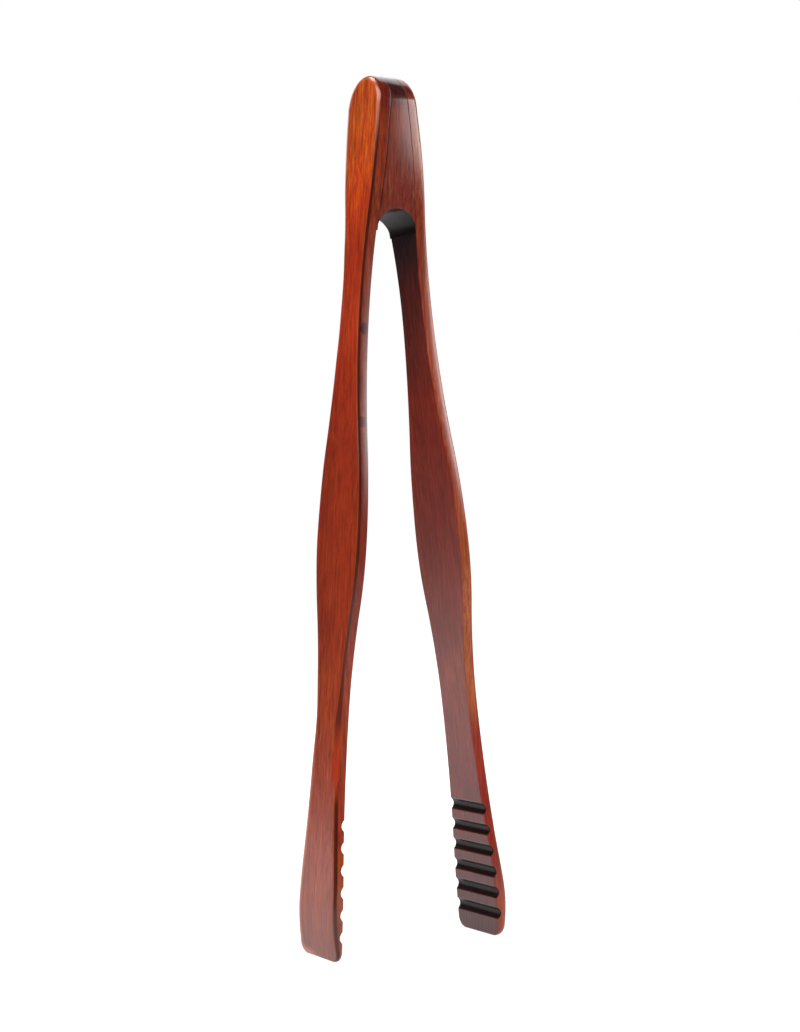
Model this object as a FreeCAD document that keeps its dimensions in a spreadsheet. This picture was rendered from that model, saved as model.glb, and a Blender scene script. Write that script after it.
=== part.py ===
"""Wooden kitchen tongs: two thin, flexible hardwood arms glued to a tapered wedge.

The tongs stand on their tips.  X is the way the arms open, Y runs across the width of
an arm and Z points up, with the origin midway between the tips at floor level.

Each arm is one straight board.  It leans in towards the wedge, flares to a spatula at the
tip, narrows to a waist, swells to a finger grip, narrows again to the neck where it flexes,
and ends in a rounded head.  It is divided here into a blade, a neck and a heel, because the
neck is the stretch of wood that bends while the other two stay straight.
"""
import FreeCAD
import Part

import math
import os

import Sketcher

# name, value, what it is; lengths in mm, angles in degrees
DIMENSIONS = [
    ("total_height", 300.0, "floor to the top of the head"),
    ("tip_reach", 33.0, "straight inner face of an arm from the centre plane, at the floor"),
    ("arm_lean", 5.82, "lean of the inner face from upright"),
    ("board_tip", 3.2, "thickness of an arm along X, at the floor before the nose is thinned"),
    ("board_head", 4.6, "thickness of an arm along X, at the top"),
    ("toe_height", 40.0, "height below which the inner face curves in towards the other tip"),
    ("toe_in", 1.1, "how far it has curved in at the floor"),
    ("nose_length", 20.0, "length over which the outer face curves in to the tip"),
    ("nose_edge", 1.5, "thickness left at the very end of the tip"),
    ("crown_start", 294.0, "height where the outer face starts to round over the top"),
    ("tip_half_width", 12.5, "widest half width of the spatula end"),
    ("tip_height", 9.0, "height of that widest place"),
    ("tip_corner", 4.0, "radius of the two bottom corners"),
    ("tip_round", 220.0, "radius of the spatula's sides"),
    ("waist_half_width", 8.4, "half width of the lower waist"),
    ("waist_height", 81.0, "height of the lower waist"),
    ("waist_round", 190.0, "radius of the waist's sides above that height"),
    ("belly_half_width", 13.9, "half width of the finger grip"),
    ("belly_height", 138.5, "height of the finger grip"),
    ("belly_round", 190.0, "radius of the grip's sides above that height"),
    ("neck_half_width", 6.6, "half width of the flexing neck"),
    ("neck_height", 220.0, "height of the narrowest place of the neck"),
    ("neck_round", 228.0, "radius of the neck's sides above that height"),
    ("head_half_width", 11.4, "half width of the head"),
    ("head_height", 283.0, "height where the head is widest and its crown starts"),
    ("edge_round", 1.2, "rounding of an arm's outer edges"),
    ("groove_count", 6, "grooves across each gripping face"),
    ("groove_first", 8.4, "height of the lowest groove"),
    ("groove_pitch", 7.3, "height from one groove to the next"),
    ("groove_radius", 1.9, "radius of a groove"),
    ("groove_offset", 0.8, "centre of a groove outside the gripping face"),
    ("glue_film", 0.15, "thickness of the glue between wedge and arm"),
    ("arch_radius", 7.5, "radius of the arch under the wedge"),
    ("arch_height", 245.6, "height of the arch's centre and of the wedge's two feet"),
    ("flex_bottom", 198.0, "height where the flexing neck starts"),
    ("flex_top", 242.0, "height where the flexing neck ends"),
]

ON_FACE = 1e-4  # mm; closer than this to a face counts as on it

doc = FreeCAD.newDocument("kitchen_tongs")


def make_sheet():
    """Put the driving dimensions in a spreadsheet, one alias for each."""
    sheet = doc.addObject("Spreadsheet::Sheet", "dims")
    for row, (alias, value, note) in enumerate(DIMENSIONS, start=1):
        sheet.set("A%d" % row, note)
        sheet.set("B%d" % row, str(value))
        sheet.setAlias("B%d" % row, alias)
    doc.recompute()
    return sheet


sheet = make_sheet()
SIZE = {alias: float(sheet.get(alias)) for alias, _, _ in DIMENSIONS}

# Heights and offsets that follow from the sheet, as expressions that the features are bound to.
INNER_TOP = "dims.tip_reach - dims.total_height * tan(dims.arm_lean * 1 deg)"
OUTER_SLOPE = "((dims.board_head - dims.board_tip) / dims.total_height - tan(dims.arm_lean * 1 deg))"


def inner_face(height):
    """Distance of an arm's inner face from the centre plane at a height."""
    return SIZE["tip_reach"] - height * math.tan(math.radians(SIZE["arm_lean"]))


def grip_face(height):
    """The inner face where it curves in towards the other tip."""
    below = max(0, SIZE["toe_height"] - height) / SIZE["toe_height"]
    return inner_face(height) - SIZE["toe_in"] * below ** 2


def outer_face(height):
    """Distance of an arm's outer face from the centre plane at a height."""
    swell = (SIZE["board_head"] - SIZE["board_tip"]) * height / SIZE["total_height"]
    return inner_face(height) + SIZE["board_tip"] + swell


def inner_face_at(height):
    """The same distance as an expression of the sheet."""
    return "(dims.tip_reach - %s * tan(dims.arm_lean * 1 deg))" % height


def outer_face_at(height):
    return "(dims.tip_reach + dims.board_tip + %s * %s)" % (height, OUTER_SLOPE)


def new_body(name):
    body = doc.addObject("PartDesign::Body", name)
    body.Label = name
    return body


def new_sketch(body, name, role):
    """A sketch on one of the body's own origin planes."""
    sketch = body.newObject("Sketcher::SketchObject", name)
    plane = next(item for item in body.Origin.OriginFeatures if item.Role == role)
    sketch.AttachmentSupport = [(plane, "")]
    sketch.MapMode = "FlatFace"
    return sketch


def point(horizontal, vertical):
    return FreeCAD.Vector(horizontal, vertical, 0)


def bind(sketch, kind, geometry, vertex, name, expression):
    """Hold one vertex of a sketch at a distance from the origin, read from the sheet."""
    where = sketch.getPoint(geometry, vertex)
    value = where.x if kind == "DistanceX" else where.y
    index = sketch.addConstraint(Sketcher.Constraint(kind, -1, 1, geometry, vertex, value))
    sketch.renameConstraint(index, name)
    sketch.setExpression("Constraints." + name, expression)


def bind_radius(sketch, geometry, name, expression):
    radius = sketch.Geometry[geometry].Radius
    index = sketch.addConstraint(Sketcher.Constraint("Radius", geometry, radius))
    sketch.renameConstraint(index, name)
    sketch.setExpression("Constraints." + name, expression)


def arc_between(centre, start, end):
    """Counter-clockwise arc about a centre, from one point to another."""
    radius = start.distanceToPoint(centre)
    circle = Part.Circle(centre, FreeCAD.Vector(0, 0, 1), radius)
    angles = [math.atan2(spot.y - centre.y, spot.x - centre.x) for spot in (start, end)]
    if angles[1] < angles[0]:
        angles[1] += 2 * math.pi
    return Part.ArcOfCircle(circle, angles[0], angles[1])


def arc_leaving(start, direction, end):
    """Centre of the arc that leaves a point along a direction and reaches another point."""
    chord = end - start
    normal = FreeCAD.Vector(-direction.y, direction.x, 0)
    return start + normal * (chord.dot(chord) / (2 * chord.dot(normal)))


# The half outline swings between widest and narrowest places.  Each row names the sheet's
# height, its half width and the radius of the side above it; the radius below follows.
STATIONS = [
    ("tip_height", "tip_half_width", "tip_round"),
    ("waist_height", "waist_half_width", "waist_round"),
    ("belly_height", "belly_half_width", "belly_round"),
    ("neck_height", "neck_half_width", "neck_round"),
    ("head_height", "head_half_width", None),
]


def add_side_arcs(sketch, lower, upper):
    """Two arcs, tangent to each other, from one station's place to the next one's."""
    low, high = (point(SIZE[row[1]], SIZE[row[0]]) for row in (lower, upper))
    growing = high.x > low.x
    step = high.x - low.x
    both = ((high.y - low.y) ** 2 + step ** 2) / (2 * abs(step))
    radius = SIZE[lower[2]]
    side = 1 if growing else -1
    low_centre = point(low.x + side * radius, low.y)
    high_centre = point(high.x - side * (both - radius), high.y)
    middle = low_centre + (high_centre - low_centre) * (radius / both)
    # an arc runs counter-clockwise: upwards on a swelling side, downwards on a hollow one
    ends = (1, 2)
    if growing:
        first = sketch.addGeometry(arc_between(low_centre, middle, low))
        second = sketch.addGeometry(arc_between(high_centre, middle, high))
        low_end, low_joint, high_joint, high_end = ends[1], ends[0], ends[0], ends[1]
    else:
        first = sketch.addGeometry(arc_between(low_centre, low, middle))
        second = sketch.addGeometry(arc_between(high_centre, high, middle))
        low_end, low_joint, high_joint, high_end = ends[0], ends[1], ends[1], ends[0]
    sketch.addConstraint(Sketcher.Constraint("Tangent", first, low_joint, second, high_joint))
    sketch.addConstraint(Sketcher.Constraint("Horizontal", first, 3, first, low_end))
    sketch.addConstraint(Sketcher.Constraint("Horizontal", second, 3, second, high_end))
    bind_radius(sketch, first, lower[2], "dims." + lower[2])
    return (first, low_end), (second, high_end)


def make_outline_form():
    """The outline of an arm seen from the side, as a block that runs right through the tongs."""
    body = new_body("outline_form")
    sketch = new_sketch(body, "half_outline", "YZ_Plane")
    width, corner = SIZE["tip_half_width"], SIZE["tip_corner"]
    top, crown = SIZE["total_height"], SIZE["total_height"] - SIZE["head_half_width"]
    floor_line = sketch.addGeometry(Part.LineSegment(point(0, 0), point(width - corner, 0)))
    corner_arc = sketch.addGeometry(
        arc_between(point(width - corner, corner), point(width - corner, 0), point(width, corner)))
    tip_line = sketch.addGeometry(
        Part.LineSegment(point(width, corner), point(width, SIZE["tip_height"])))
    sketch.addConstraint(Sketcher.Constraint("Tangent", floor_line, 2, corner_arc, 1))
    sketch.addConstraint(Sketcher.Constraint("Tangent", corner_arc, 2, tip_line, 1))
    sketch.addConstraint(Sketcher.Constraint("Horizontal", floor_line))
    sketch.addConstraint(Sketcher.Constraint("Coincident", floor_line, 1, -1, 1))
    bind_radius(sketch, corner_arc, "tip_corner", "dims.tip_corner")
    last = (tip_line, 2)
    for lower, upper in zip(STATIONS, STATIONS[1:]):
        start, end = add_side_arcs(sketch, lower, upper)
        sketch.addConstraint(Sketcher.Constraint("Coincident", *last, *start))
        bind(sketch, "DistanceX", *start, lower[1], "dims." + lower[1])
        bind(sketch, "DistanceY", *start, lower[0], "dims." + lower[0])
        last = end
    head = SIZE["head_half_width"]
    head_line = sketch.addGeometry(
        Part.LineSegment(point(head, SIZE["head_height"]), point(head, crown)))
    crown_arc = sketch.addGeometry(arc_between(point(0, crown), point(head, crown), point(0, top)))
    centre_line = sketch.addGeometry(Part.LineSegment(point(0, top), point(0, 0)))
    sketch.addConstraint(Sketcher.Constraint("Coincident", *last, head_line, 1))
    sketch.addConstraint(Sketcher.Constraint("Tangent", head_line, 2, crown_arc, 1))
    sketch.addConstraint(Sketcher.Constraint("Vertical", head_line))
    sketch.addConstraint(Sketcher.Constraint("Coincident", crown_arc, 2, centre_line, 1))
    sketch.addConstraint(Sketcher.Constraint("Coincident", centre_line, 2, -1, 1))
    sketch.addConstraint(Sketcher.Constraint("PointOnObject", crown_arc, 3, -2))
    bind(sketch, "DistanceX", *last, "head_half_width", "dims.head_half_width")
    bind(sketch, "DistanceY", *last, "head_height", "dims.head_height")
    bind(sketch, "DistanceY", crown_arc, 2, "total_height", "dims.total_height")
    sketch.addConstraint(Sketcher.Constraint("PointOnObject", crown_arc, 2, -2))

    pad = body.newObject("PartDesign::Pad", "outline_pad")
    pad.Profile = sketch
    pad.Midplane = True
    pad.setExpression("Length", "2 * (dims.tip_reach + 4 * dims.board_head)")
    doc.recompute()
    mirror = body.newObject("PartDesign::Mirrored", "outline_mirror")
    mirror.Originals = [pad]
    mirror.MirrorPlane = (sketch, ["V_Axis"])
    body.Tip = mirror
    return body


def pad_across(body, sketch, name):
    """Thicken a sketch of the XZ plane to both sides, wider than any place of the outline."""
    pad = body.newObject("PartDesign::Pad", name)
    pad.Profile = sketch
    pad.Midplane = True
    pad.setExpression("Length", "4 * dims.belly_half_width")
    doc.recompute()
    return pad


def make_arm_board():
    """The right arm's board seen edge on, before its outline is cut, with its grooves."""
    body = new_body("arm_board")
    sketch = new_sketch(body, "board_edge", "XZ_Plane")
    top, nose, crown = SIZE["total_height"], SIZE["nose_length"], SIZE["crown_start"]
    toe = SIZE["toe_height"]
    inner_low, inner_high = point(grip_face(0), 0), point(inner_face(top), top)
    toe_high = point(inner_face(toe), toe)
    nose_low = point(grip_face(0) + SIZE["nose_edge"], 0)
    nose_high, crown_low = point(outer_face(nose), nose), point(outer_face(crown), crown)
    nose_centre = arc_leaving(nose_high, crown_low - nose_high, nose_low)
    crown_centre = arc_leaving(crown_low, crown_low - nose_high, inner_high)
    toe_centre = arc_leaving(toe_high, inner_high - toe_high, inner_low)
    end_line = sketch.addGeometry(Part.LineSegment(inner_low, nose_low))
    nose_arc = sketch.addGeometry(arc_between(nose_centre, nose_low, nose_high))
    outer_line = sketch.addGeometry(Part.LineSegment(nose_high, crown_low))
    crown_arc = sketch.addGeometry(arc_between(crown_centre, crown_low, inner_high))
    inner_line = sketch.addGeometry(Part.LineSegment(inner_high, toe_high))
    toe_arc = sketch.addGeometry(arc_between(toe_centre, inner_low, toe_high))
    sketch.addConstraint([
        Sketcher.Constraint("Coincident", end_line, 2, nose_arc, 1),
        Sketcher.Constraint("Tangent", nose_arc, 2, outer_line, 1),
        Sketcher.Constraint("Tangent", outer_line, 2, crown_arc, 1),
        Sketcher.Constraint("Coincident", crown_arc, 2, inner_line, 1),
        Sketcher.Constraint("Tangent", inner_line, 2, toe_arc, 2),
        Sketcher.Constraint("Coincident", toe_arc, 1, end_line, 1),
        Sketcher.Constraint("PointOnObject", end_line, 1, -1),
        Sketcher.Constraint("Horizontal", end_line),
    ])
    bind(sketch, "DistanceX", end_line, 1, "reach", "dims.tip_reach - dims.toe_in")
    bind(sketch, "DistanceX", end_line, 2, "nose_edge",
         "dims.tip_reach - dims.toe_in + dims.nose_edge")
    bind(sketch, "DistanceX", outer_line, 1, "nose_x", outer_face_at("dims.nose_length"))
    bind(sketch, "DistanceY", outer_line, 1, "nose_z", "dims.nose_length")
    bind(sketch, "DistanceX", outer_line, 2, "crown_x", outer_face_at("dims.crown_start"))
    bind(sketch, "DistanceY", outer_line, 2, "crown_z", "dims.crown_start")
    bind(sketch, "DistanceX", inner_line, 1, "inner_x", INNER_TOP)
    bind(sketch, "DistanceY", inner_line, 1, "inner_z", "dims.total_height")
    bind(sketch, "DistanceX", inner_line, 2, "toe_x", inner_face_at("dims.toe_height"))
    bind(sketch, "DistanceY", inner_line, 2, "toe_z", "dims.toe_height")
    pad = pad_across(body, sketch, "board_pad")
    before = pad.Shape.Volume

    grooves = new_sketch(body, "groove_circles", "XZ_Plane")
    for number in range(int(SIZE["groove_count"])):
        height = SIZE["groove_first"] + number * SIZE["groove_pitch"]
        centre = point(grip_face(height) - SIZE["groove_offset"], height)
        circle = grooves.addGeometry(
            Part.Circle(centre, FreeCAD.Vector(0, 0, 1), SIZE["groove_radius"]))
        at = "(dims.groove_first + %d * dims.groove_pitch)" % number
        curved = "dims.toe_in * max(0; 1 - %s / dims.toe_height)^2" % at
        bind_radius(grooves, circle, "radius%d" % number, "dims.groove_radius")
        bind(grooves, "DistanceX", circle, 3, "x%d" % number,
             "%s - %s - dims.groove_offset" % (inner_face_at(at), curved))
        bind(grooves, "DistanceY", circle, 3, "z%d" % number, at)
    doc.recompute()
    rows = body.newObject("PartDesign::Pocket", "groove_pocket")
    rows.Profile = grooves
    rows.Type = "ThroughAll"
    rows.Midplane = True
    body.Tip = rows
    doc.recompute()
    cut = before - rows.Shape.Volume
    offset, radius = SIZE["groove_offset"], SIZE["groove_radius"]
    segment = radius ** 2 * math.acos(offset / radius) - offset * math.sqrt(radius ** 2 - offset ** 2)
    expected = segment * SIZE["groove_count"] * 4 * SIZE["belly_half_width"]
    if abs(cut - expected) > 0.05 * expected:
        raise RuntimeError("the grooves cut %.0f mm3, not %.0f mm3" % (cut, expected))
    return body


def common(name, base, tool):
    """The part of one object that lies inside another."""
    result = doc.addObject("Part::Common", name)
    result.Label = name
    result.Base, result.Tool = base, tool
    result.Refine = True
    doc.recompute()
    return result


def mirrored(name, source):
    """The same piece on the other side of the centre plane."""
    result = doc.addObject("Part::Mirroring", name)
    result.Label = name
    result.Source = source
    result.Normal = FreeCAD.Vector(1, 0, 0)
    doc.recompute()
    return result


def add_loop(sketch, corners):
    """Straight sides through the corners in order, joined end to start; returns their numbers."""
    following = corners[1:] + corners[:1]
    sides = [sketch.addGeometry(Part.LineSegment(a, b)) for a, b in zip(corners, following)]
    for side, following_side in zip(sides, sides[1:] + sides[:1]):
        sketch.addConstraint(Sketcher.Constraint("Coincident", side, 2, following_side, 1))
    return sides


def make_slab():
    """A plain leaning slab whose outer side is the arm's outer face, left thick inside."""
    body = new_body("slab")
    sketch = new_sketch(body, "slab_edge", "XZ_Plane")
    top, spare = SIZE["total_height"], SIZE["board_tip"]
    corners = [point(inner_face(0) - spare, 0), point(outer_face(0), 0),
               point(outer_face(top), top), point(inner_face(top) - spare, top)]
    add_loop(sketch, corners)
    outer_top = INNER_TOP + " + dims.board_head"
    for corner, across, height in (
            (0, "dims.tip_reach - dims.board_tip", "0 * dims.total_height"),
            (1, "dims.tip_reach + dims.board_tip", "0 * dims.total_height"),
            (2, outer_top, "dims.total_height")):
        bind(sketch, "DistanceX", corner, 1, "x%d" % corner, across)
        bind(sketch, "DistanceY", corner, 1, "z%d" % corner, height)
    sketch.addConstraint(Sketcher.Constraint("Horizontal", 2))
    sketch.addConstraint(Sketcher.Constraint("Parallel", 3, 1))
    pad_across(body, sketch, "slab_pad")
    return body


def round_outer_edges(slab):
    """Ease all the edges of a cut slab's outer face, which the hand holds."""
    rounded = doc.addObject("Part::Fillet", "slab_rounded")
    rounded.Base = slab
    chosen = []
    for number, edge in enumerate(slab.Shape.Edges, start=1):
        middle = edge.valueAt((edge.FirstParameter + edge.LastParameter) / 2)
        spots = [vertex.Point for vertex in edge.Vertexes] + [middle]
        if all(abs(spot.x - outer_face(spot.z)) < ON_FACE for spot in spots):
            chosen.append((number, SIZE["edge_round"], SIZE["edge_round"]))
    rounded.Edges = chosen
    doc.recompute()
    return rounded


def make_block(name, low, high):
    """A block right across the tongs between two heights of the sheet."""
    block = doc.addObject("Part::Box", name)
    block.setExpression("Length", "8 * dims.tip_reach")
    block.setExpression("Width", "4 * dims.belly_half_width")
    block.setExpression("Height", "%s - %s" % (high, low))
    block.setExpression("Placement.Base.x", "-4 * dims.tip_reach")
    block.setExpression("Placement.Base.y", "-2 * dims.belly_half_width")
    block.setExpression("Placement.Base.z", low)
    return block


def make_wedge_block():
    """The tapered spacer that holds the arms apart, with the arch bored under it."""
    body = new_body("wedge_block")
    sketch = new_sketch(body, "wedge_taper", "XZ_Plane")
    foot, top, film = SIZE["arch_height"], SIZE["total_height"], SIZE["glue_film"]
    wide, narrow = inner_face(foot) - film, inner_face(top) - film
    corners = [point(wide, foot), point(narrow, top), point(-narrow, top), point(-wide, foot)]
    right, over, left, under = add_loop(sketch, corners)
    foot_x = inner_face_at("dims.arch_height") + " - dims.glue_film"
    bind(sketch, "DistanceX", right, 1, "foot_x", foot_x)
    bind(sketch, "DistanceY", right, 1, "foot_z", "dims.arch_height")
    bind(sketch, "DistanceX", over, 1, "top_x", INNER_TOP + " - dims.glue_film")
    bind(sketch, "DistanceY", over, 1, "top_z", "dims.total_height")
    sketch.addConstraint(Sketcher.Constraint("Symmetric", over, 1, over, 2, -2))
    sketch.addConstraint(Sketcher.Constraint("Symmetric", under, 1, under, 2, -2))
    pad = pad_across(body, sketch, "wedge_pad")
    before = pad.Shape.Volume

    arch = new_sketch(body, "arch_circle", "XZ_Plane")
    circle = arch.addGeometry(
        Part.Circle(point(0, foot), FreeCAD.Vector(0, 0, 1), SIZE["arch_radius"]))
    arch.addConstraint(Sketcher.Constraint("PointOnObject", circle, 3, -2))
    bind_radius(arch, circle, "arch_radius", "dims.arch_radius")
    bind(arch, "DistanceY", circle, 3, "arch_height", "dims.arch_height")
    doc.recompute()
    bore = body.newObject("PartDesign::Pocket", "arch_pocket")
    bore.Profile = arch
    bore.Type = "ThroughAll"
    bore.Midplane = True
    body.Tip = bore
    doc.recompute()
    half_circle = math.pi * SIZE["arch_radius"] ** 2 / 2
    expected = half_circle * 4 * SIZE["belly_half_width"]
    if abs(before - bore.Shape.Volume - expected) > 0.01 * expected:
        raise RuntimeError("the arch wasn't bored through the wedge")
    return body


def make_glue_film():
    """The thin film of glue between the wedge and the right arm."""
    body = new_body("glue_sheet")
    sketch = new_sketch(body, "film_edge", "XZ_Plane")
    foot, top, film = SIZE["arch_height"], SIZE["total_height"], SIZE["glue_film"]
    corners = [point(inner_face(foot) - film, foot), point(inner_face(foot), foot),
               point(inner_face(top), top), point(inner_face(top) - film, top)]
    foot_line, arm_side, top_line, wedge_side = add_loop(sketch, corners)
    foot_x = inner_face_at("dims.arch_height")
    for line, expression in ((foot_line, foot_x + " - dims.glue_film"), (arm_side, foot_x)):
        bind(sketch, "DistanceX", line, 1, "x%d" % line, expression)
        bind(sketch, "DistanceY", line, 1, "z%d" % line, "dims.arch_height")
    for line, expression in ((top_line, INNER_TOP), (wedge_side, INNER_TOP + " - dims.glue_film")):
        bind(sketch, "DistanceX", line, 1, "x%d" % line, expression)
        bind(sketch, "DistanceY", line, 1, "z%d" % line, "dims.total_height")
    pad_across(body, sketch, "film_pad")
    return body


def check_document():
    for item in doc.Objects:
        if "Invalid" in item.State or "Error" in item.State:
            raise RuntimeError("%s failed: %s" % (item.Label, item.State))


def export(pieces):
    """Write each piece to a STEP file of its own, once all of them are sound."""
    for piece in pieces:
        shape = piece.Shape
        if shape.isNull() or not shape.isValid() or len(shape.Solids) != 1:
            raise RuntimeError("%s isn't one sound solid" % piece.Label)
    os.makedirs("parts", exist_ok=True)
    for piece in pieces:
        piece.Shape.exportStep("parts/%s.step" % piece.Label)
        box = piece.Shape.optimalBoundingBox()
        print("%-16s %8.0f mm3  x %6.1f..%6.1f  y %6.1f..%6.1f  z %6.1f..%6.1f" % (
            piece.Label, piece.Shape.Volume, box.XMin, box.XMax, box.YMin, box.YMax,
            box.ZMin, box.ZMax))


outline = make_outline_form()
rounded_slab = round_outer_edges(common("slab_outline", make_slab(), outline))
right_arm = common("right_arm", rounded_slab, make_arm_board())
left_arm = mirrored("left_arm", right_arm)

spans = {
    "blade": make_block("blade_span", "0 * dims.flex_bottom", "dims.flex_bottom"),
    "neck": make_block("neck_span", "dims.flex_bottom", "dims.flex_top"),
    "heel": make_block("heel_span", "dims.flex_top", "dims.total_height"),
}
pieces = [
    common("%s_arm_%s" % (side, span), whole, block)
    for side, whole in (("left", left_arm), ("right", right_arm))
    for span, block in spans.items()
]
pieces.append(common("spacer_wedge", make_wedge_block(), outline))
right_glue = common("right_glue_line", make_glue_film(), outline)
pieces += [right_glue, mirrored("left_glue_line", right_glue)]
doc.recompute()
check_document()
export(pieces)
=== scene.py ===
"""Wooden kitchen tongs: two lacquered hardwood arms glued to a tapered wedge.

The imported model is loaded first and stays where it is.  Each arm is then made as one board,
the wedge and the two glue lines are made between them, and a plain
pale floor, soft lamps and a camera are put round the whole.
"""
import math

import bmesh
import bpy
from bpy.props import FloatProperty, FloatVectorProperty, IntProperty, PointerProperty
from mathutils import Matrix, Vector


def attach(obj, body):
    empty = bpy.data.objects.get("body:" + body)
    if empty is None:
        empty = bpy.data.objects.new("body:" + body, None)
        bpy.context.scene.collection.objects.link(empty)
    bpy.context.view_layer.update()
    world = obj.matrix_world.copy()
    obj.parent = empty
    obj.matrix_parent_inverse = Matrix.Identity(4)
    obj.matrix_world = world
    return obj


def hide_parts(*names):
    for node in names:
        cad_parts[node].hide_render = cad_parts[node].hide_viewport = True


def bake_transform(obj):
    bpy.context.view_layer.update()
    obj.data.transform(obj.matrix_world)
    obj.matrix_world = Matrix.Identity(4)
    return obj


bl_info = {
    "name": "Wooden kitchen tongs",
    "version": (1, 0, 0),
    "blender": (4, 5, 0),
    "location": "View3D > Sidebar > Tongs",
    "description": "Detailed looks for a pair of lacquered wooden tongs",
    "category": "Add Mesh",
}

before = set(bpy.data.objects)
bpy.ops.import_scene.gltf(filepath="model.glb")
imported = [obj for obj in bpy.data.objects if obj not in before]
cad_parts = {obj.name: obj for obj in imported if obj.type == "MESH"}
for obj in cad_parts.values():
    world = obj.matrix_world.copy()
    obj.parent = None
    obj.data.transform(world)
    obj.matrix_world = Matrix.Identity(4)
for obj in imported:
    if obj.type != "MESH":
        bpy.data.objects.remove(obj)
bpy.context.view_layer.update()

MM = 0.001
WELD = 0.01 * MM          # corners closer than this become one

# ---------------------------------------------------------------- shape of the boards, mm
HEIGHT = 300.0
TIP_REACH = 33.0          # inner face of an arm from the centre plane, at the floor
LEAN = math.tan(math.radians(5.82))
BOARD_TIP = 3.2           # thickness at the floor, before the nose is thinned
BOARD_HEAD = 4.6          # thickness at the top
TOE_HEIGHT = 40.0
TOE_IN = 1.1
BELLY = 0.5               # the inner face swells a little above the grip,
BELLY_PLACE = (78.0, 85.0)    # most at the first height, and out to the second above and below
NOSE_LENGTH = 20.0
NOSE_EDGE = 1.5
TIP_CORNER = 4.0
HEAD_RADIUS = 11.4
HEAD_CENTRE = HEIGHT - HEAD_RADIUS
GROOVE_RADIUS = 1.9
GROOVE_OFFSET = 0.8
GROOVE_FIRST = 8.4
GROOVE_PITCH = 7.3
GROOVE_COUNT = 6
GROOVE_DEPTH = GROOVE_RADIUS - GROOVE_OFFSET
GROOVE_LIP = 1.1          # a groove's lips are eased over this much of its depth
ARCH_RADIUS = 7.5
ARCH_REACH = 7.72         # half width of the arch at its feet
ARCH_HEIGHT = 245.6
GLUE_FILM = 0.15

# height, half width and radius of the side above it
STATIONS = (
    (9.0, 12.5, 220.0),
    (81.0, 8.4, 190.0),
    (138.5, 13.9, 190.0),
    (220.0, 6.6, 228.0),
    (283.0, HEAD_RADIUS, 0.0),
)

# height, and how far the back outer edge is rounded there: most at the head and the waist
BACK_EDGE = (
    (0.0, 2.0), (40.0, 1.7), (62.0, 1.8), (80.0, 2.9), (95.0, 2.1), (120.0, 2.0), (145.0, 1.3),
    (170.0, 1.1), (200.0, 1.2), (216.0, 1.7), (236.0, 2.5), (256.0, 3.8), (276.0, 5.0), (290.0, 5.2),
    (300.0, 2.6),
)
# The outer front edge is rounded over a reach along the face and a drop below it.  Each row of
# heights says where a change sets in and where it is full.
HEAD_ROUNDS = (262.0, 290.0)
HEAD_REACH = 0.8
RIGHT_DROP, RIGHT_HEAD_DROP = 1.7, 0.3
LEFT_DROP, LEFT_HEAD_DROP = 0.5, 0.8
UPPER_ROUNDS = (95.0, 120.0)
LEFT_UPPER_DROP = 0.4
CROWN_ROUNDS = (284.0, 298.0)
LEFT_CROWN_REACH = 0.8
TIP_ROUNDS = (50.0, 60.0)     # and the left arm's tip is rounded more below these heights
LEFT_TIP_REACH, LEFT_TIP_DROP = 0.9, 0.4
THROAT = (244.0, 250.0)       # the inner edges grow crisper here, where the wedge begins
THROAT_LOSS = 0.6
FACET_TOP = 99.0              # a facet is sanded into the left arm's front edge between these heights
FACET_FOOT = 56.5
FACET_BLUNT = 6.0             # its lower end is this long
FACET_FULL = 12.0             # and it begins to taper so far above its foot
FACET_WIDTH = 3.0
FACET_DROP = 0.9
FACET_FLATNESS = 0.75         # from 0, as round as the other edges, to 1, plain
HEAD_BULGE = 0.8              # the head's front and back are gently rounded across all three parts
HEAD_BLENDS = (232.0, 272.0)
STRIP_BULGE = 0.17            # and so is the narrow side of each arm
NOSE_SWELL = 0.7              # the right arm's outer face is fuller just above the floor
NOSE_PLACE = (10.0, 26.0)
BACK_SWELL = 0.7              # the back of each arm is fuller above the grip
BACK_PLACE = (188.0, 42.0)


def linear(hexa):
    """A colour written as sRGB hex, as the four linear numbers that a socket takes."""
    parts = [int(hexa[i:i + 2], 16) / 255 for i in (0, 2, 4)]
    return tuple(c / 12.92 if c <= 0.04045 else ((c + 0.055) / 1.055) ** 2.4 for c in parts) + (1.0,)


def half_width(z):
    """Half the width of a board at a height."""
    if z < TIP_CORNER:
        flat = STATIONS[0][1] - TIP_CORNER
        return flat + math.sqrt(max(0.0, TIP_CORNER ** 2 - (TIP_CORNER - z) ** 2))
    if z > HEAD_CENTRE:
        return math.sqrt(max(0.0, HEAD_RADIUS ** 2 - (z - HEAD_CENTRE) ** 2))
    if z <= STATIONS[0][0]:
        return STATIONS[0][1]
    for low, high in zip(STATIONS, STATIONS[1:]):
        if z > high[0]:
            continue
        step = high[1] - low[1]
        both = ((high[0] - low[0]) ** 2 + step ** 2) / (2 * abs(step))
        side = math.copysign(1.0, step)
        if z < low[0] + (high[0] - low[0]) * low[2] / both:
            return low[1] + side * (low[2] - math.sqrt(low[2] ** 2 - (z - low[0]) ** 2))
        above = both - low[2]
        return high[1] - side * (above - math.sqrt(above ** 2 - (high[0] - z) ** 2))
    return STATIONS[-1][1]


def inner_line(z):
    """The straight inner face of a board, from the centre plane."""
    return TIP_REACH - z * LEAN


def grip_line(z):
    """The inner face where it curves in towards the other tip."""
    toe = TOE_IN * (max(0.0, TOE_HEIGHT - z) / TOE_HEIGHT) ** 2
    return inner_line(z) - toe - BELLY * bump_at(z, *BELLY_PLACE)


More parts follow.
